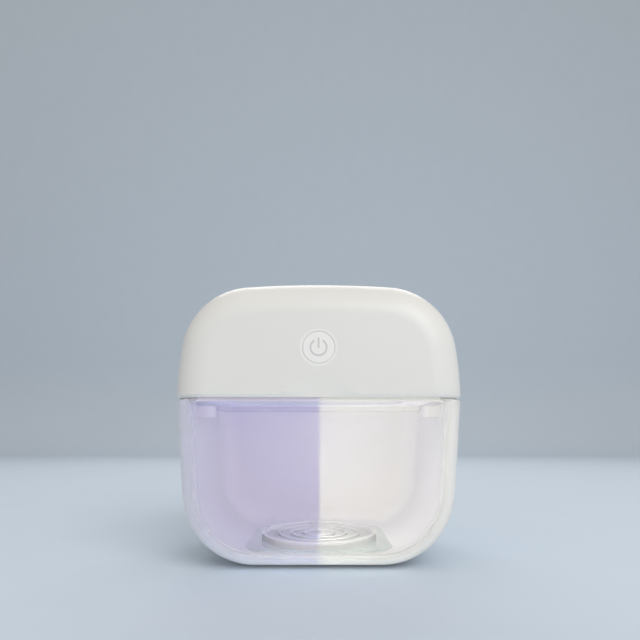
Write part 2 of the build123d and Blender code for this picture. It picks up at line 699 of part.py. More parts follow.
def button_cap():
    """The round power button, with the flange that keeps it in and the stem that meets the plunger."""
    disc = rod_y(BUTTON_R, FRONT_Y, KEEPER_Y, 0, BUTTON_Z)
    disc = chamfer(disc.edges().sort_by(Axis.Y)[0], BUTTON_EDGE)
    cap = disc + rod_y(KEEPER_R, KEEPER_Y, KEEPER_Y + KEEPER_THICK, 0, BUTTON_Z)
    return cap + rod_y(STEM_R, KEEPER_Y, STEM_END_Y, 0, BUTTON_Z)


def switch_plunger():
    """The switch's moving plunger, always in touch with the button's stem."""
    return rod_y(PLUNGER_R, STEM_END_Y, SWITCH_FRONT_Y + PLUNGER_IN, 0, BUTTON_Z)


# ---- Everything -----------------------------------------------------------------------------------
PIECES = (
    base_shell,
    base_liner,
    base_magnets,
    floor_plate,
    clear_tray,
    foot_pad,
    hinge_pin,
    lid_shell,
    inner_cover,
    light_seal,
    cover_screws,
    lid_magnets,
    lamp_windows,
    uv_lamps,
    lamp_board,
    board_screws,
    main_board,
    board_header,
    tact_switch,
    ring_leds,
    hall_sensor,
    battery,
    battery_pad,
    battery_plug,
    battery_leads,
    usb_socket,
    usb_insert,
    light_ring,
    button_cap,
    switch_plunger,
)


def main():
    """Build each piece and write it to its own file, named after its function."""
    os.makedirs("parts", exist_ok=True)
    for make in PIECES:
        made = make()
        solids = made if isinstance(made, list) else [made]
        export_step(Compound(children=solids), f"parts/{make.__name__}.step")


main()
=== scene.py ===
import math

import bmesh
import bpy
import numpy as np
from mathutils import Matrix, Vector


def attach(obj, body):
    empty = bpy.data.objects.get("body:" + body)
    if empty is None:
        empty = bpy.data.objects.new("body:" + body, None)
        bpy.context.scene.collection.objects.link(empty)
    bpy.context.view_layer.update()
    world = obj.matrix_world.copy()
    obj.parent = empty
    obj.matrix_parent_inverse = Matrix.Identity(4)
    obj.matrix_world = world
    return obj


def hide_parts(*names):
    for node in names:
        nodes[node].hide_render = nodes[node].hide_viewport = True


# Pacifier sterilizer case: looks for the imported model.
#
# Metres, +Z up, front towards -Y, the origin in the middle of the foot pad's underside.

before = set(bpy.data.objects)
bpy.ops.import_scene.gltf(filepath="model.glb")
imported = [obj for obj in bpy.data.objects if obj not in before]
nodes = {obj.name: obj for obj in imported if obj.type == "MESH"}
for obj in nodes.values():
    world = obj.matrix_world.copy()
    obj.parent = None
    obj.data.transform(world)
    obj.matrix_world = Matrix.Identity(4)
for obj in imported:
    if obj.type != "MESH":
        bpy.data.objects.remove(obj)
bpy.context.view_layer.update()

MM = 0.001
WIDTH = 84.0 * MM
DEPTH = 58.0 * MM
SEAM_Z = 48.7 * MM
BASE_TOP = 48.45 * MM
FRONT_Y = -DEPTH / 2
BUTTON_Z = 62.7 * MM

# The base's shell: drafted sides, round corners and a rim rounded front and back.
FOOT_RISE = 0.5 * MM
RIM_R = 10.7 * MM
WALL = 2.0 * MM
BASE_CORNER_R = 21.9 * MM
BASE_DRAFT = math.radians(4.1)
BASE_EDGE_BEVEL = 0.4 * MM
BASE_CORNER_Z = FOOT_RISE + BASE_CORNER_R
BASE_CORNER_INSET = BASE_CORNER_R + math.sin(BASE_DRAFT) * (SEAM_Z - BASE_CORNER_Z)
BASE_CORNER_X = WIDTH / 2 - BASE_CORNER_INSET / math.cos(BASE_DRAFT)

# How finely the base's curves are drawn, in points, and how far in the rows of a filled face lie.
CORNER_POINTS = 33
FLAT_POINTS = 13
SIDE_POINTS = 15
RIM_POINTS = 17
DEPTH_POINTS = 10
SHELL_FACE_ROWS = (0.02, 0.2, 0.4, 0.6, 0.8, 1.0)
LINER_FACE_ROWS = (0.02, 0.25, 0.5, 0.75, 1.0)

# How dense the outside's frost is, against how far the front rim has turned from the front, as 1 - cos.
# It starts sooner at the sides than at the bottom.
FROST_SIDE_LEAD = 0.1
FROST_TURNS = (0.0, 0.1, 0.16, 0.24, 0.34)
FROST_LEVELS = (0.0, 0.03, 0.2, 0.7, 1.0)
FROST_GLOW = 0.3  # how much of a frosted wall's light comes through from behind
FROST_ROUGHNESS = 0.2  # how much rougher the wall is where the frost is full

# The liner's two surfaces, as depths inside the base's outside, its front edge and its top.
LINER_OUTSIDE = 2.3 * MM
LINER_INSIDE = 3.8 * MM
LINER_FRONT_Y = -20.8 * MM
LINER_TOP = 47.8 * MM

# The pads that hold the magnets.
BOSS_TOP = 47.45 * MM
BOSS_WALL = 0.9 * MM
BOSS_EASE = 0.2 * MM
BOSS_FOOT_SCALE = 0.93
BOSS_POINTS = 25
MAGNET_X = 35.6 * MM
MAGNET_Y = -9.5 * MM
MAGNET_R = 2.0 * MM
MAGNET_LENGTH = 2.6 * MM

# The base's hinge knuckles, and the notch between them for the lid's.
HINGE_Y = 29.6 * MM
KNUCKLE_R = 2.6 * MM
KNUCKLE_FOOT_Z = 42.7 * MM
KNUCKLE_ENDS = (6.65 * MM, 13.05 * MM)
KNUCKLE_EASE = 0.15 * MM
KNUCKLE_END_SCALE = 0.95
KNUCKLE_POINTS = 48
KNUCKLE_FROST = 1.0
PIN_BORE_R = 0.95 * MM
NOTCH_HALF = 6.65 * MM
NOTCH_Z = 45.8 * MM

# The ring about the button: its front band, its flange behind the lid's wall, and a step that closes the
# gap to the button.
RING_INNER_R = 4.65 * MM
RING_STEP_R = 4.57 * MM
RING_OUTER_R = 5.3 * MM
RING_FLANGE_R = 6.4 * MM
RING_STEP_Y = FRONT_Y + 0.12 * MM
RING_FLANGE_Y = FRONT_Y + 2.0 * MM
RING_BACK_Y = FRONT_Y + 2.8 * MM
RING_EASE = 0.08 * MM
RING_POINTS = 96

# The power mark on the button's face.
MARK_RING_R = 2.25 * MM
MARK_STROKE = 0.6 * MM
MARK_GAP = math.radians(30)
MARK_BAR_Z = 1.3 * MM
MARK_BAR_HALF = 1.5 * MM
MARK_SOFTNESS = 0.08 * MM

# Meshes: corners closer than the first are one, edges shorter than the second go, and edges that turn
# more than the angles are shaded sharp.
MERGE_DISTANCE = 1e-6
SHORTEST_EDGE = 1e-7
LID_SHARP_ANGLE = math.radians(28)
FORM_SHARP_ANGLE = math.radians(30)

# What moulding and rolling leave on a surface: sizes in features per metre, depths, and the noise levels
# between which a mask rises.
GRAIN_SIZE = 2600.0
GRAIN_DEPTH = 0.2 * MM
SWELL_SIZE = 38.0
SWELL_LEVELS = (0.3, 0.7)
LINE_SIZE = 1500.0
LINE_DEPTH = 0.1 * MM
SCUFF_SIZES = (60.0, 900.0, 900.0)
SCUFF_TURN = (0.3, 0.5, 0.7)
SCUFF_LEVELS = (0.62, 0.72)
PATCH_SIZE = 55.0
PATCH_LEVELS = (0.45, 0.65)

# How far a finish's roughness swings about its middle, and its second tone against the first.
MOULDED_SPREAD = 0.08
METAL_SPREAD = 0.1
BUTTON_SPREAD = 0.06
GLASS_DEEPENING = 0.985
WALL_DEEPENING = 0.98

BUTTON_BUMP = 0.04
GLASS_SHADOW = 0.9  # how much light passes through glass to what it shades

# The sockets of a Mix node that blends colours.
MIX_SHARE = 0
MIX_FIRST = 6
MIX_SECOND = 7
MIX_RESULT = 2

# ---- Camera and light -----------------------------------------------------------------------------
CAMERA_PLACE = (0.0004, -0.1590, 0.0372)
CAMERA_LENS = 26.5
CAMERA_SENSOR = 36.0
CAMERA_LIFT = 2.8  # degrees above level
CAMERA_SHIFT = 0.15
CAMERA_NEAREST = 0.01

# The paper sweep: how far it comes forward, how far back its bend starts, the bend's radius, its top and
# half its width.
PAPER_FRONT = -2.0
PAPER_BACK = 0.9
PAPER_BEND = 0.25
PAPER_BEND_POINTS = 24
PAPER_TOP = 2.6
PAPER_HALF_WIDTH = 3.0

# The surround, as light and as it is seen past the paper.
SKY_LIGHT = (1.0, 0.940, 0.872)
SKY_STRENGTH = 0.563
SKY_SEEN = (0.34, 0.39, 0.44)

# The soft lamps about the case: place, aim, width and height, and watts.
SOFT_LIGHTS = {
    "key": ((0.45, -0.75, 0.65), (0, 0, 0.05), (0.7, 0.7), 5.3),
    "fill": ((-0.75, -0.55, 0.35), (0, 0, 0.04), (0.6, 0.6), 0.25),
    "back": ((0.0, 0.6, 0.7), (0, 0, 0.08), (0.8, 0.3), 2.0),
}

# Two low strips of light in front: one for the lid's lower edge, one for the base's bottom rim.
STRIP_HEIGHT = 0.003
EDGE_PLACE = (0.0, FRONT_Y - 3.5 * MM, 3.0 * MM)
EDGE_AIM = (0.0, FRONT_Y, SEAM_Z)
EDGE_WIDTH = 0.090
EDGE_POWER = 0.009
EDGE_TINT = (1.0, 0.98, 0.92)
RIM_PLACE = (0.0, -0.048, 0.0016)
RIM_AIM = (0.0, FRONT_Y, 0.003)
RIM_WIDTH = 0.055
RIM_POWER = 0.0049
RIM_TINT = (1.0, 1.0, 0.88)

# The lamps that light the base's two halves: place, and watts of red, green and blue in either half.
INNER_PLACE = (0.0002, -0.010, 0.020)
INNER_VIOLET = (0.0003, 0.0003, 0.0040)
INNER_WHITE = (0.0113, 0.0109, 0.0099)
FRONT_PLACE = (CAMERA_PLACE[0], CAMERA_PLACE[1], 0.012)
FRONT_VIOLET = (0.129, 0.078, 0.141)
FRONT_WHITE = (0.219, 0.201, 0.156)
SHELL_PLACE = (CAMERA_PLACE[0], CAMERA_PLACE[1], 0.034)
SHELL_VIOLET = (0.005, 0.002, 0.173)
SHELL_WHITE = (0.201, 0.167, 0.100)
CEILING_PLACE = (0.0004, -0.060, -0.140)
CEILING_VIOLET = (0.200, 0.205, 0.491)
CEILING_WHITE = (0.720, 0.688, 0.686)
POINT_LAMP_R = 0.001


# ---- Small helpers for node trees -----------------------------------------------------------------
def add(tree, kind, **settings):
    """A node of that kind, with properties set by name and input sockets by name or number."""
    node = tree.nodes.new("ShaderNode" + kind)
    inputs = settings.pop("inputs", {})
    for name, value in settings.items():
        setattr(node, name, value)
    for name, value in inputs.items():
        socket = node.inputs[name]
        if isinstance(value, bpy.types.NodeSocket):
            tree.links.new(value, socket)
        else:
            socket.default_value = value
    return node


def colour(red, green, blue):
    """A colour socket's value."""
    return (red, green, blue, 1.0)


def ramp(tree, value, levels):
    """A mask that rises from 0 to 1 as the value goes from the first level to the second."""
    node = add(tree, "ValToRGB", inputs={"Fac": value})
    black, white = node.color_ramp.elements
    black.position, white.position = levels
    black.color = colour(0.0, 0.0, 0.0)
    white.color = colour(1.0, 1.0, 1.0)
    return node.outputs["Color"]


def group(name, inputs, outputs):
    """An empty node group with named inputs, each with its kind and default, and named outputs."""
    tree = bpy.data.node_groups.new(name, "ShaderNodeTree")
    for label, (kind, default) in inputs.items():
        socket = tree.interface.new_socket(label, in_out="INPUT", socket_type="NodeSocket" + kind)
        socket.default_value = default
    for label, kind in outputs.items():
        tree.interface.new_socket(label, in_out="OUTPUT", socket_type="NodeSocket" + kind)
    enter = tree.nodes.new("NodeGroupInput")
    leave = tree.nodes.new("NodeGroupOutput")
    return tree, enter.outputs, leave.inputs


def mixed(tree, mask, first, second):
    """A colour that goes from the first to the second as the mask goes from 0 to 1."""
    inputs = {MIX_SHARE: mask, MIX_FIRST: first, MIX_SECOND: second}
    return add(tree, "Mix", data_type="RGBA", inputs=inputs).outputs[MIX_RESULT]


def maths(tree, operation, first, second=0.0, clamp=False):
    """One step of arithmetic on values."""
    node = add(tree, "Math", operation=operation, use_clamp=clamp, inputs={0: first, 1: second})
    return node.outputs[0]


def mixed_shader(tree, share, first, second, target):
    """The two nodes' shaders mixed by the share, into an output node's surface."""
    mix = add(tree, "MixShader", inputs={0: share, 1: first.outputs[0], 2: second.outputs[0]})
    tree.links.new(mix.outputs[0], tree.nodes[target].inputs["Surface"])


# ---- Shared effects -------------------------------------------------------------------------------
def moulded_surface():
    """The surface that a textured mould leaves: a fine even grain, and slow swells in gloss and tone."""
    inputs = {
        "Tone": ("Color", colour(0.8, 0.8, 0.8)),
        "Deep Tone": ("Color", colour(0.7, 0.7, 0.7)),
        "Grain Size": ("Float", GRAIN_SIZE),
        "Swell Size": ("Float", SWELL_SIZE),
        "Roughness": ("Float", 0.35),
        "Roughness Spread": ("Float", MOULDED_SPREAD),
    }
    outputs = {"Color": "Color", "Roughness": "Float", "Height": "Float"}
    tree, enter, leave = group("Moulded surface", inputs, outputs)
    place = add(tree, "TexCoord").outputs["Object"]
    grain_inputs = {"Vector": place, "Scale": enter["Grain Size"], "Detail": 2.0}
    swell_inputs = {"Vector": place, "Scale": enter["Swell Size"], "Detail": 3.0}
    grain = add(tree, "TexNoise", inputs=grain_inputs).outputs["Fac"]
    swell = add(tree, "TexNoise", inputs=swell_inputs).outputs["Fac"]
    level = ramp(tree, swell, SWELL_LEVELS)
    tone = mixed(tree, level, enter["Tone"], enter["Deep Tone"])
    swing = maths(tree, "SUBTRACT", swell, 0.5)
    spread = maths(tree, "MULTIPLY", swing, enter["Roughness Spread"])
    gloss = maths(tree, "ADD", enter["Roughness"], maths(tree, "MULTIPLY", spread, 2.0))
    tree.links.new(tone, leave["Color"])
    tree.links.new(gloss, leave["Roughness"])
    tree.links.new(grain, leave["Height"])
    return tree


def handling_marks():
    """Hairline scuffs from handling: noise drawn out along one direction, of which only peaks count."""
    tree, enter, leave = group("Handling marks", {"Amount": ("Float", 0.5)}, {"Mask": "Float"})
    place = add(tree, "TexCoord").outputs["Object"]
    drawn_out = {"Vector": place, "Rotation": SCUFF_TURN, "Scale": SCUFF_SIZES}
    turned = add(tree, "Mapping", inputs=drawn_out).outputs[0]
    hair = add(tree, "TexNoise", inputs={"Vector": turned, "Scale": 1.0, "Detail": 3.0})
    patch = add(tree, "TexNoise", inputs={"Vector": place, "Scale": PATCH_SIZE, "Detail": 1.0})
    hair_mask = ramp(tree, hair.outputs["Fac"], SCUFF_LEVELS)
    patch_mask = ramp(tree, patch.outputs["Fac"], PATCH_LEVELS)
    both = maths(tree, "MULTIPLY", hair_mask, patch_mask)
    tree.links.new(maths(tree, "MULTIPLY", both, enter["Amount"]), leave["Mask"])
    return tree


def brushed_lines():
    """Fine parallel lines along one axis, as rolling or drawing leaves on metal."""
    inputs = {"Stretch": ("Vector", (1.0, 1.0, 1.0)), "Size": ("Float", LINE_SIZE)}
    tree, enter, leave = group("Brushed lines", inputs, {"Height": "Float"})
    place = add(tree, "TexCoord").outputs["Object"]
    drawn = add(tree, "VectorMath", operation="MULTIPLY", inputs={0: place, 1: enter["Stretch"]})
    line_inputs = {"Vector": drawn.outputs[0], "Scale": enter["Size"], "Detail": 2.0}
    lines = add(tree, "TexNoise", inputs=line_inputs)
    tree.links.new(lines.outputs["Fac"], leave["Height"])
    return tree


MOULDED = moulded_surface()
MARKS = handling_marks()
BRUSHED = brushed_lines()


# ---- Finishes -------------------------------------------------------------------------------------
def blank_finish(name, **sockets):
    """A material with one Principled shader, its plain sockets set by name."""
    material = bpy.data.materials.new(name)
    material.use_nodes = True
    tree = material.node_tree
    shader = tree.nodes["Principled BSDF"]
    for socket, value in sockets.items():
        shader.inputs[socket.replace("_", " ")].default_value = value
    return material, tree, shader


def skin(tree, tone, deep_tone, roughness, spread, grain=GRAIN_SIZE):
    """The colour, gloss and height sockets of the moulded surface, used in a material."""
    inputs = {
        "Tone": colour(*tone),
        "Deep Tone": colour(*deep_tone),
        "Grain Size": grain,
        "Roughness": roughness,
        "Roughness Spread": spread,
    }
    surface = add(tree, "Group", node_tree=MOULDED, inputs=inputs)
    return surface.outputs["Color"], surface.outputs["Roughness"], surface.outputs["Height"]


def dressed(tree, shader, tone, gloss):
    """Leads a colour and a gloss socket into the shader."""
    tree.links.new(tone, shader.inputs["Base Color"])
    tree.links.new(gloss, shader.inputs["Roughness"])


def dented(tree, shader, height, strength, depth):
    """Gives the shader a relief from a height socket."""
    inputs = {"Height": height, "Strength": strength, "Distance": depth}
    dents = add(tree, "Bump", inputs=inputs)
    tree.links.new(dents.outputs["Normal"], shader.inputs["Normal"])


def moulded(name, tone, deep_tone, roughness, grain=GRAIN_SIZE, bump=0.05, marks=0.0):
    """Moulded plastic, rubber or ceramic: tone and gloss drift slowly, under a fine grain."""
    material, tree, shader = blank_finish(name)
    shade, gloss, height = skin(tree, tone, deep_tone, roughness, MOULDED_SPREAD, grain)
    if marks:
        scuffs = add(tree, "Group", node_tree=MARKS, inputs={"Amount": marks})
        gloss = maths(tree, "ADD", gloss, scuffs.outputs["Mask"], clamp=True)
    dressed(tree, shader, shade, gloss)
    dented(tree, shader, height, bump, GRAIN_DEPTH)
    return material


def metal(name, tone, deep_tone, roughness, stretch=(1.0, 1.0, 1.0), bump=0.05):
    """Bare or plated metal, with lines along the direction in which the stretch is small."""
    material, tree, shader = blank_finish(name, Metallic=1.0)
    shade, gloss, _ = skin(tree, tone, deep_tone, roughness, METAL_SPREAD)
    lines = add(tree, "Group", node_tree=BRUSHED, inputs={"Stretch": stretch})
    dressed(tree, shader, shade, gloss)
    dented(tree, shader, lines.outputs["Height"], bump, LINE_DEPTH)
    return material


def clear(name, tone, roughness, ior):
    """Clear glass that lets the lamps' light through."""
    material, tree, shader = blank_finish(name, Transmission_Weight=1.0, IOR=ior)
    deep_tone = [GLASS_DEEPENING * level for level in tone]
    shade, gloss, _ = skin(tree, tone, deep_tone, roughness, roughness)
    dressed(tree, shader, shade, gloss)
    passed = colour(GLASS_SHADOW, GLASS_SHADOW, GLASS_SHADOW)
    through = add(tree, "BsdfTransparent", inputs={"Color": passed})
    path = add(tree, "LightPath")
    mixed_shader(tree, path.outputs["Is Shadow Ray"], shader, through, "Material Output")
    return material


def clear_wall(name, tone, roughness, haze, frosted=False):
    """A thin clear wall: what is behind shows straight through an even haze.

    A frosted wall turns milky as well, by as much as its corners' "frost" values say, and light glows
    through it.
    """
    material, tree, shader = blank_finish(name)
    deep_tone = [WALL_DEEPENING * level for level in tone]
    shade, gloss, _ = skin(tree, tone, deep_tone, roughness, 0.5 * roughness)
    if frosted:
        frost = add(tree, "Attribute", attribute_name="frost").outputs["Fac"]
        milky = maths(tree, "MULTIPLY", frost, 1.0 - haze)
        veil = maths(tree, "ADD", milky, haze, clamp=True)
        gloss = maths(tree, "ADD", gloss, maths(tree, "MULTIPLY", frost, FROST_ROUGHNESS))
        tree.links.new(veil, shader.inputs["Alpha"])
        glow = add(tree, "BsdfTranslucent", inputs={"Color": shade})
        share = maths(tree, "MULTIPLY", frost, FROST_GLOW)
        mixed_shader(tree, share, shader, glow, "Material Output")
    else:
        shader.inputs["Alpha"].default_value = haze
    dressed(tree, shader, shade, gloss)
    return material


def printed_button(name, tone, deep_tone, ink, roughness):
    """Moulded plastic with the power mark printed on its face, about the button's own axis.

    The ring is a band of distances from the axis with a gap about the upright, and the bar is a box
    from the axis up into the gap. Their soft edges are a few hundredths of a millimetre wide.
    """
    material, tree, shader = blank_finish(name)
    shade, gloss, height = skin(tree, tone, deep_tone, roughness, BUTTON_SPREAD)
    split = add(tree, "SeparateXYZ", inputs={0: add(tree, "TexCoord").outputs["Object"]})
    across = maths(tree, "ABSOLUTE", split.outputs["X"])
    up = maths(tree, "SUBTRACT", split.outputs["Z"], BUTTON_Z)
    squares = [maths(tree, "POWER", length, 2.0) for length in (across, up)]
    far = maths(tree, "POWER", maths(tree, "ADD", *squares), 0.5)

    def beyond_edge(length):
        """Nought where the length is negative, one where it is past the mark's soft edge."""
        return maths(tree, "MULTIPLY", length, 1.0 / MARK_SOFTNESS, clamp=True)

    def within(value, middle, half):
        """One inside a band of values about the middle, nought outside."""
        off = maths(tree, "ABSOLUTE", maths(tree, "SUBTRACT", value, middle))
        return beyond_edge(maths(tree, "SUBTRACT", half, off))

    band = within(far, MARK_RING_R, MARK_STROKE / 2)
    gap_side = maths(tree, "MULTIPLY", up, math.tan(MARK_GAP))
    ring = maths(tree, "MULTIPLY", band, beyond_edge(maths(tree, "SUBTRACT", across, gap_side)))
    bar_across = within(across, 0.0, MARK_STROKE / 2)
    bar_up = within(up, MARK_BAR_Z, MARK_BAR_HALF)
    bar = maths(tree, "MULTIPLY", bar_across, bar_up)
    mark = maths(tree, "ADD", ring, bar, clamp=True)
    dressed(tree, shader, mixed(tree, mark, shade, colour(*ink)), gloss)
    dented(tree, shader, height, BUTTON_BUMP, GRAIN_DEPTH)
    return material


FINISHES = {
    "clear_shell": clear_wall("Clear shell", (0.83, 0.84, 0.83), 0.12, 0.03, frosted=True),
    "white_shell": moulded("White shell", (0.80, 0.795, 0.765), (0.785, 0.78, 0.75), 0.38, marks=0.1),
    "pearl_liner": moulded("Pearl liner", (0.90, 0.90, 0.90), (0.88, 0.88, 0.885), 0.55, bump=0.02),
    "mirror_plate": metal(
        "Mirror plate", (0.75, 0.83, 0.81), (0.72, 0.80, 0.78), 0.2, (0.02, 1.0, 1.0), 0.02
    ),
    "clear_tray": clear_wall("Clear tray", (0.96, 0.96, 0.96), 0.05, 0.47),
    "grey_silicone": moulded("Grey silicone", (0.45, 0.46, 0.47), (0.41, 0.42, 0.43), 0.7, bump=0.1),
    "white_silicone": moulded("White silicone", (0.76, 0.76, 0.75), (0.72, 0.72, 0.71), 0.6, bump=0.08),
    "steel": metal("Steel", (0.58, 0.59, 0.60), (0.5, 0.51, 0.52), 0.3, (0.03, 1.0, 1.0)),
    "magnet_nickel": metal("Magnet nickel", (0.68, 0.67, 0.65), (0.6, 0.59, 0.57), 0.2),
    "quartz": clear("Quartz", (0.97, 0.97, 1.0), 0.01, ior=1.46),
    "lamp_ceramic": moulded("Lamp ceramic", (0.78, 0.75, 0.66), (0.72, 0.69, 0.6), 0.6),
    "lamp_board_white": moulded("Lamp board", (0.82, 0.83, 0.83), (0.78, 0.79, 0.79), 0.4),
    "board_green": moulded("Board green", (0.03, 0.2, 0.1), (0.025, 0.16, 0.08), 0.35),
    "black_plastic": moulded("Black plastic", (0.03, 0.03, 0.035), (0.04, 0.04, 0.045), 0.5),
    "switch_case": moulded("Switch case", (0.1, 0.1, 0.11), (0.12, 0.12, 0.13), 0.45),
    "led_clear": moulded("Ring light", (0.8, 0.84, 0.88), (0.76, 0.8, 0.84), 0.2),
    "cell_foil": metal("Cell foil", (0.72, 0.73, 0.75), (0.66, 0.67, 0.69), 0.35),
    "foam_black": moulded(
        "Black foam", (0.06, 0.06, 0.06), (0.04, 0.04, 0.04), 0.9, grain=900.0, bump=0.6
    ),
    "plug_white": moulded("Nylon plug", (0.82, 0.81, 0.76), (0.78, 0.77, 0.72), 0.5),
    "lead_red": moulded("Lead insulation", (0.45, 0.04, 0.03), (0.38, 0.03, 0.03), 0.5),
    "ring_frost": moulded("Frosted ring", (0.87, 0.87, 0.84), (0.85, 0.85, 0.82), 0.45),
    "button_white": printed_button(
        "Button white", (0.885, 0.88, 0.855), (0.87, 0.865, 0.84), (0.63, 0.63, 0.62), 0.38
    ),
}
PAPER = moulded("Studio paper", (0.62, 0.71, 0.81), (0.61, 0.70, 0.80), 0.9, grain=400.0)

for node in nodes.values():
    for slot in node.material_slots:
        finish = slot.material.name.split(".")[0]
        slot.material = FINISHES[finish]


# ---- Stage ----------------------------------------------------------------------------------------
def linked(name, data):
    """A new object with that data, in the scene."""
    holder = bpy.data.objects.new(name, data)
    bpy.context.scene.collection.objects.link(holder)
    return holder


def studio():
    """A pale floor that curves up into a backdrop, as one swept sheet."""
    turn = np.linspace(0, math.pi / 2, PAPER_BEND_POINTS)
    bend_depth = PAPER_BACK + PAPER_BEND * np.sin(turn)
    bend_height = PAPER_BEND * (1 - np.cos(turn))
    depth = np.concatenate(([PAPER_FRONT], bend_depth, [PAPER_BACK + PAPER_BEND]))
    height = np.concatenate(([0.0], bend_height, [PAPER_TOP]))
    rows = len(depth)
    points = np.empty((rows, 2, 3))
    points[..., 0] = (-PAPER_HALF_WIDTH, PAPER_HALF_WIDTH)
    points[..., 1] = depth[:, None]
    points[..., 2] = height[:, None]
    first = 2 * np.arange(rows - 1)[:, None]
    faces = first + np.array([0, 1, 3, 2])[None, :]
    mesh = bpy.data.meshes.new("studio")
    mesh.from_pydata(points.reshape(-1, 3).tolist(), [], faces.tolist())
    mesh.shade_smooth()
    mesh.materials.append(PAPER)
    sheet = linked("studio", mesh)


def soft_light(name, place, aim, size, power, tint=(1.0, 1.0, 1.0)):
    """A rectangular soft light, turned towards its aim."""
    lamp = bpy.data.lights.new(name, "AREA")
    lamp.shape = "RECTANGLE"
    lamp.size, lamp.size_y = size
    lamp.energy = power
    lamp.color = tint
    holder = linked(name, lamp)
    holder.location = place
    holder.rotation_euler = (Vector(aim) - Vector(place)).to_track_quat("-Z", "Y").to_euler()
    return holder


def split_light(name, side, place, watts, targets, blockers=None):
    """A lamp in the case's middle plane that lights only the targets, on one side of that plane."""
    lamp = bpy.data.lights.new(name, "SPOT")
    lamp.spot_size = math.pi
    lamp.spot_blend = 0.0
    lamp.shadow_soft_size = POINT_LAMP_R
    lamp.energy = max(watts)
    lamp.color = [level / max(watts) for level in watts]
    holder = linked(name, lamp)
    holder.location = place
    holder.rotation_euler = (0.0, -side * math.pi / 2, 0.0)
    holder.visible_glossy = False
    holder.light_linking.receiver_collection = targets
    holder.light_linking.blocker_collection = blockers


def pieces_lit(name, pieces):
    """A collection of the pieces that a lamp lights or is stopped by."""
    lit = bpy.data.collections.new(name)
    for piece in pieces:
        lit.objects.link(piece)
    return lit


def low_strips(lid_lit, outside_lit):
    """The strips that brighten the lid's lower edge and the base's bottom rim."""
    edge = (EDGE_PLACE, EDGE_AIM, (EDGE_WIDTH, STRIP_HEIGHT), EDGE_POWER, EDGE_TINT)
    rim = (RIM_PLACE, RIM_AIM, (RIM_WIDTH, STRIP_HEIGHT), RIM_POWER, RIM_TINT)
    for name, settings, targets in (("edge card", edge, lid_lit), ("rim card", rim, outside_lit)):
        holder = soft_light(name, *settings)
        holder.visible_camera = False
        holder.visible_glossy = False
        holder.light_linking.receiver_collection = targets


def base_lights(shell, liner, lid):
    """Violet light in the base's left half and white in its right: in it, on its shell and above it.

    The key leaves the liner out, so that its halves keep their colours.
    """
    within = [liner] + [nodes[name] for name in ("floor_plate", "clear_tray", "light_seal")]
    inside_lit = pieces_lit("inside_lit", within)
    ceiling_lit = pieces_lit("ceiling_lit", [nodes["inner_cover"], nodes["light_seal"]])
    outside_lit = pieces_lit("outside_lit", [shell])
    within_shell_lit = pieces_lit("within_shell_lit", within + [shell])
    low_strips(pieces_lit("lid_lit", [lid]), outside_lit)
    beyond_key = pieces_lit("beyond_key", [liner])
    beyond_key.collection_objects[0].light_linking.link_state = "EXCLUDE"
    bpy.data.objects["key"].light_linking.receiver_collection = beyond_key
    for name, place, violet, white, targets, blockers in (
        ("inner", INNER_PLACE, INNER_VIOLET, INNER_WHITE, within_shell_lit, None),
        ("front", FRONT_PLACE, FRONT_VIOLET, FRONT_WHITE, inside_lit, None),
        ("shell", SHELL_PLACE, SHELL_VIOLET, SHELL_WHITE, outside_lit, None),
        ("ceiling", CEILING_PLACE, CEILING_VIOLET, CEILING_WHITE, ceiling_lit, ceiling_lit),
    ):
        split_light(name + " violet", -1, place, violet, targets, blockers)
        split_light(name + " white", 1, place, white, targets, blockers)


def camera():
    """The camera: in front of the case, tilted a little up, its picture shifted to hold the case."""
    view = bpy.data.cameras.new("camera")
    view.lens = CAMERA_LENS
    view.sensor_width = CAMERA_SENSOR
    view.shift_y = CAMERA_SHIFT
    view.clip_start = CAMERA_NEAREST
    holder = linked("camera", view)
    holder.location = CAMERA_PLACE
    holder.rotation_euler = (math.radians(90 + CAMERA_LIFT), 0, 0)
    bpy.context.scene.camera = holder


def sky():
    """An even surround: warm white as light, and the paper's own tone where it is seen."""
    world = bpy.data.worlds.new("surround")
    bpy.context.scene.world = world
    world.use_nodes = True
    tree = world.node_tree
    light = tree.nodes["Background"]
    light.inputs["Color"].default_value = colour(*SKY_LIGHT)
    light.inputs["Strength"].default_value = SKY_STRENGTH
    seen = add(tree, "Background", inputs={"Color": colour(*SKY_SEEN), "Strength": 1.0})
    path = add(tree, "LightPath")
    mixed_shader(tree, path.outputs["Is Camera Ray"], light, seen, "World Output")


studio()
for name, settings in SOFT_LIGHTS.items():
    soft_light(name, *settings)
camera()
sky()
bpy.context.scene.view_settings.view_transform = "Standard"


# ---- Pieces ---------------------------------------------------------------------------------------
def joined(form):
    """Merges a form's doubled corners."""
    bmesh.ops.remove_doubles(form, verts=form.verts, dist=MERGE_DISTANCE)


def riding(mesh, name, body):
    """A piece with that mesh, on a body."""
    piece = linked(name, mesh)
    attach(piece, body)
    return piece


def smoothed(node_name, name, body):
    """A copy of a moulded node with its facets joined and its rounded faces shaded smooth."""
    mesh = nodes[node_name].data.copy()
    form = bmesh.new()
    form.from_mesh(mesh)
    joined(form)
    form.to_mesh(mesh)
    form.free()
    mesh.name = name
    mesh.shade_smooth()
    mesh.set_sharp_from_angle(angle=LID_SHARP_ANGLE)
    piece = riding(mesh, name, body)
    even = piece.modifiers.new("Even shading", "WEIGHTED_NORMAL")
    even.keep_sharp = True
    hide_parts(node_name)
    return piece


def looped(points):
    """Corners and faces of a surface from rows of points, where each row closes on itself."""
    rows, columns = points.shape[:2]
    row = np.arange(rows - 1)[:, None] * columns
    column = np.arange(columns)[None, :]
    right = (column + 1) % columns
    across = row + columns
    faces = np.stack([row + column, row + right, across + right, across + column], axis=-1)
    return points.reshape(rows * columns, -1), faces.reshape(-1, 4)


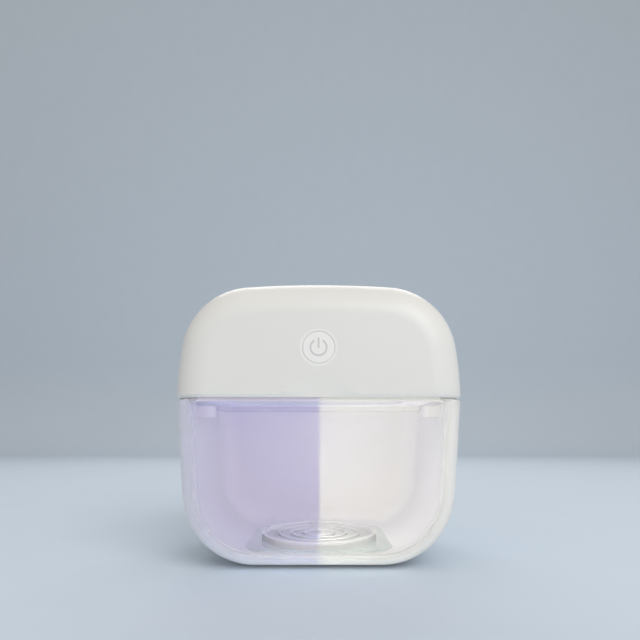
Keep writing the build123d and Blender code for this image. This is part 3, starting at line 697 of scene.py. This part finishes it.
def solid(name, grids):
    """One mesh from several looped grids, each a closed form: doubles merged, faces turned outwards.

    A grid's fourth column, where it has one, becomes the corners' "frost".
    """
    merged = bmesh.new()
    for grid in grids:
        corners, faces = looped(grid)
        part = bpy.data.meshes.new(name)
        part.from_pydata(corners[:, :3].tolist(), [], faces.tolist())
        has_frost = corners.shape[1] == 4
        levels = corners[:, 3] if has_frost else np.zeros(len(corners))
        part.attributes.new("frost", "FLOAT", "POINT").data.foreach_set("value", levels)
        form = bmesh.new()
        form.from_mesh(part)
        joined(form)
        bmesh.ops.dissolve_degenerate(form, edges=form.edges, dist=SHORTEST_EDGE)
        if form.calc_volume(signed=True) < 0:
            bmesh.ops.reverse_faces(form, faces=form.faces)
        form.to_mesh(part)
        form.free()
        merged.from_mesh(part)
        bpy.data.meshes.remove(part)
    mesh = bpy.data.meshes.new(name)
    merged.to_mesh(mesh)
    merged.free()
    mesh.shade_smooth()
    mesh.set_sharp_from_angle(angle=FORM_SHARP_ANGLE)
    return mesh


def placed(name, body, slot, *grids):
    """The solid of the grids as a piece that rides on a body, with its slot's finish."""
    mesh = solid(name, grids)
    mesh.materials.append(FINISHES[slot])
    return riding(mesh, name, body)


def base_curve(inset, top):
    """The base from the front at several insets: seam, side, corner, bottom and up again.

    Each corner is an arc whose radius is the corner's less the inset, and each side is the line that
    leans in by the draft, cut off at the top.
    """
    inset = np.atleast_1d(inset)[:, None]
    turn = np.linspace(-math.pi / 2, -BASE_DRAFT, CORNER_POINTS)
    radius = BASE_CORNER_R - inset
    arc_x = BASE_CORNER_X + radius * np.cos(turn)
    arc_z = BASE_CORNER_Z + radius * np.sin(turn)
    flat = np.linspace(0.0, 1.0, FLAT_POINTS)[:-1] * BASE_CORNER_X
    flat_x = np.broadcast_to(flat, (len(inset), len(flat)))
    flat_z = np.broadcast_to(FOOT_RISE + inset, flat_x.shape)
    rise = np.linspace(0.0, 1.0, SIDE_POINTS)[1:]
    side_z = arc_z[:, -1:] + (top - arc_z[:, -1:]) * rise
    side_x = WIDTH / 2 - inset / math.cos(BASE_DRAFT) - (SEAM_Z - side_z) * math.tan(BASE_DRAFT)
    half_x = np.hstack([flat_x, arc_x, side_x])
    half_z = np.hstack([flat_z, arc_z, side_z])
    half = np.stack([half_x, half_z], axis=-1)
    return np.concatenate([half[:, :0:-1] * (-1.0, 1.0), half], axis=1)


def base_rows(inset, depth, top):
    """Rows of points round the base, one for each inset and the depth at which it lies."""
    curve = base_curve(inset, top)
    depths = np.broadcast_to(depth[:, None], curve.shape[:2])
    return np.dstack([curve[..., 0], depths, curve[..., 1]])


def rim_rows(wall, front_y):
    """Insets and depths of a wall's rows from front_y to the back face: side, then quarter-round rim."""
    radius = RIM_R - wall
    turn = np.linspace(0.0, math.pi / 2, RIM_POINTS)
    inset = wall + radius * (1 - np.sin(turn))
    back = DEPTH / 2 - wall - radius * (1 - np.cos(turn))
    side = np.linspace(front_y, back[-1], DEPTH_POINTS)[:-1]
    insets = np.concatenate([np.full(len(side), wall), inset[::-1]])
    return insets, np.concatenate([side, back[::-1]])


def tub_rows(wall, top):
    """A tub's wall surface at a depth inside its outside, as rows: front rim, sides and back rim."""
    radius = RIM_R - wall
    turn = np.linspace(0.0, math.pi / 2, RIM_POINTS)[:-1]
    front_inset = wall + radius * (1 - np.sin(turn))
    front_depth = FRONT_Y + wall + radius * (1 - np.cos(turn))
    inset, depth = rim_rows(wall, FRONT_Y + wall + radius)
    inset = np.concatenate([front_inset, inset])
    depth = np.concatenate([front_depth, depth])
    return base_rows(inset, depth, top)


def filled(edge, goal, shares):
    """Rows that run from an edge row in to a goal row, as straight blends of the two."""
    shares = np.asarray(shares)[:, None, None]
    return edge[None] * (1 - shares) + goal[None] * shares


def shell_face(surface, top):
    """A shell's surface with its front and back faces filled in.

    The flat front narrows to the middle of its top edge, and the flat back to the notch for the lid's
    hinge knuckle: a quarter of the row goes down one side of the notch, half of it along the bottom and
    a quarter up the other side.
    """
    share = np.linspace(0.0, 1.0, surface.shape[1])
    notch_x = np.interp(share, (0.25, 0.75), (-NOTCH_HALF, NOTCH_HALF))
    down = np.interp(share, (0.0, 0.25, 0.75, 1.0), (0.0, 1.0, 1.0, 0.0))
    back_y = np.full_like(notch_x, surface[-1, 0, 1])
    notch = np.stack([notch_x, back_y, top - down * (top - NOTCH_Z)], axis=-1)
    tip = np.broadcast_to((0.0, surface[0, 0, 1], top), surface[0].shape)
    front = filled(surface[0], tip, SHELL_FACE_ROWS)[::-1]
    return np.concatenate([front, surface, filled(surface[-1], notch, SHELL_FACE_ROWS)])


def base_shell_form():
    """The clear tub: outer and inner wall surfaces that share their rows, joined along the top edge.

    The outside is frosted but for its front face: the frost grows as the rim turns away. The first and
    last rows fold onto the middle of the wall, which closes the form.
    """
    low_top = BASE_TOP - BASE_EDGE_BEVEL
    outer = shell_face(tub_rows(0.0, low_top), low_top)
    inner = shell_face(tub_rows(WALL, BASE_TOP), BASE_TOP)
    bevel = tub_rows(BASE_EDGE_BEVEL, BASE_TOP)[:, [0, -1]]
    front_y = bevel[0, 0, 1]
    back_y = bevel[-1, 0, 1]
    tips = np.array([(0.0, front_y, BASE_TOP), (0.0, front_y, BASE_TOP)])
    notches = np.array([(-NOTCH_HALF, back_y, BASE_TOP), (NOTCH_HALF, back_y, BASE_TOP)])
    front = filled(bevel[0], tips, SHELL_FACE_ROWS)[::-1]
    lip = np.concatenate([front, bevel, filled(bevel[-1], notches, SHELL_FACE_ROWS)])
    turned = (outer[..., 1] - FRONT_Y) / RIM_R
    sideways = np.clip((np.abs(outer[..., 0]) - BASE_CORNER_X) / BASE_CORNER_R, 0.0, 1.0)
    frost = np.interp(turned + FROST_SIDE_LEAD * sideways, FROST_TURNS, FROST_LEVELS)
    outside = np.dstack([outer, frost])
    edges = np.dstack([lip, frost[:, [0, -1]]])
    inside = np.dstack([inner, np.zeros_like(frost)])
    rows = np.concatenate([outside, edges[:, 1:], inside[:, ::-1], edges[:, :1]], axis=1)
    count = outer.shape[1]
    ends = []
    for row in (rows[0], rows[-1]):
        middle = (row[:count] + row[count + 1 : -1][::-1]) / 2
        ends.append(np.concatenate([middle, row[count : count + 1], middle[::-1], row[-1:]]))
    return np.concatenate([ends[0][None], rows, ends[1][None]])


def knuckle_form(low, high):
    """A hinge knuckle: a barrel and a web that narrows down to its foot, bored for the pin.

    In section it is an arc between the two lines that touch the barrel from the foot, closed there.
    """
    foot = np.array([DEPTH / 2 - WALL / 2, KNUCKLE_FOOT_Z])
    centre = np.array([HINGE_Y, SEAM_Z])
    towards = foot - centre
    reach = float(np.hypot(*towards))
    facing = math.atan2(towards[1], towards[0])
    spread = math.acos(KNUCKLE_R / reach)
    turn = np.linspace(facing + spread, facing + 2 * math.pi - spread, KNUCKLE_POINTS)
    arc = centre + KNUCKLE_R * np.stack([np.cos(turn), np.sin(turn)], axis=-1)
    section = np.concatenate([arc, foot[None]])
    angle = np.concatenate([turn, [facing]])
    bore = centre + PIN_BORE_R * np.stack([np.cos(angle), np.sin(angle)], axis=-1)
    eased = centre + (section - centre) * KNUCKLE_END_SCALE
    frost = np.full(len(section), KNUCKLE_FROST)
    rows = []
    for outline, x in (
        (bore, low),
        (eased, low),
        (section, low + KNUCKLE_EASE),
        (section, high - KNUCKLE_EASE),
        (eased, high),
        (bore, high),
        (bore, low),
    ):
        rows.append(np.column_stack([np.full(len(outline), x), outline, frost]))
    return np.array(rows)


def liner_form():
    """The liner: an open-fronted tub whose walls run from its front edge to a rounded back.

    The first and last rows fold onto the middle of the wall, which closes the form.
    """
    surfaces = []
    for wall in (LINER_OUTSIDE, LINER_INSIDE):
        inset, depth = rim_rows(wall, LINER_FRONT_Y)
        surface = base_rows(inset, depth, LINER_TOP)
        tip = np.broadcast_to((0.0, surface[-1, 0, 1], LINER_TOP), surface[-1].shape)
        back = filled(surface[-1], tip, LINER_FACE_ROWS)
        surfaces.append(np.concatenate([surface, back]))
    outer, inner = surfaces
    rows = np.concatenate([outer, inner[:, ::-1]], axis=1)
    count = outer.shape[1]
    ends = []
    for row in (rows[0], rows[-1]):
        middle = (row[:count] + row[count:][::-1]) / 2
        ends.append(np.concatenate([middle, middle[::-1]]))
    return np.concatenate([ends[0][None], rows, ends[1][None]])


def magnet_boss_form(side):
    """The pad that holds a magnet: half round towards the middle, straight back into the wall."""
    radius = MAGNET_R + BOSS_WALL
    low = BOSS_TOP - MAGNET_LENGTH - BOSS_WALL
    turn = np.linspace(math.pi / 2, 3 * math.pi / 2, BOSS_POINTS)
    round_end = radius * np.stack([np.cos(turn), np.sin(turn)], axis=-1)
    wall = np.array([(radius, -radius), (radius, radius)])
    outline = np.concatenate([round_end, wall])
    place = np.array([(side * MAGNET_X, MAGNET_Y)])
    rows = []
    for scale, height in (
        (0.0, low),
        (BOSS_FOOT_SCALE, low),
        (1.0, low + BOSS_EASE),
        (1.0, BOSS_TOP),
        (0.0, BOSS_TOP),
    ):
        plan = outline * scale * (side, 1.0) + place
        rows.append(np.column_stack([plan, np.full(len(plan), height)]))
    return np.array(rows)


def light_ring_form():
    """The ring about the button: a stepped profile of radii and depths, carried round its axis."""
    profile = np.array(
        [
            (RING_INNER_R, RING_STEP_Y),
            (RING_INNER_R, FRONT_Y + RING_EASE),
            (RING_INNER_R + RING_EASE, FRONT_Y),
            (RING_OUTER_R, FRONT_Y),
            (RING_OUTER_R, RING_FLANGE_Y),
            (RING_FLANGE_R, RING_FLANGE_Y),
            (RING_FLANGE_R, RING_BACK_Y),
            (RING_STEP_R, RING_BACK_Y),
            (RING_STEP_R, RING_STEP_Y),
            (RING_INNER_R, RING_STEP_Y),
        ]
    )
    turn = np.linspace(0.0, 2 * math.pi, RING_POINTS + 1)[:-1]
    radius = profile[:, :1]
    depth = np.broadcast_to(profile[:, 1:], (len(profile), len(turn)))
    return np.stack([radius * np.cos(turn), depth, BUTTON_Z + radius * np.sin(turn)], axis=-1)


white_lid = smoothed("lid_shell", "lid_shell_smooth", "lid")

right_knuckle = knuckle_form(*KNUCKLE_ENDS)
left_knuckle = knuckle_form(-KNUCKLE_ENDS[1], -KNUCKLE_ENDS[0])
clear_tub = placed("clear_tub", "base", "clear_shell", base_shell_form(), right_knuckle, left_knuckle)
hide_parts("base_shell")

bosses = [magnet_boss_form(side) for side in (-1, 1)]
white_tub = placed("white_tub", "base", "pearl_liner", liner_form(), *bosses)
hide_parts("base_liner")

light_ring = placed("frosted_ring", "lid", "ring_frost", light_ring_form())
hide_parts("light_ring")

base_lights(clear_tub, white_tub, white_lid)
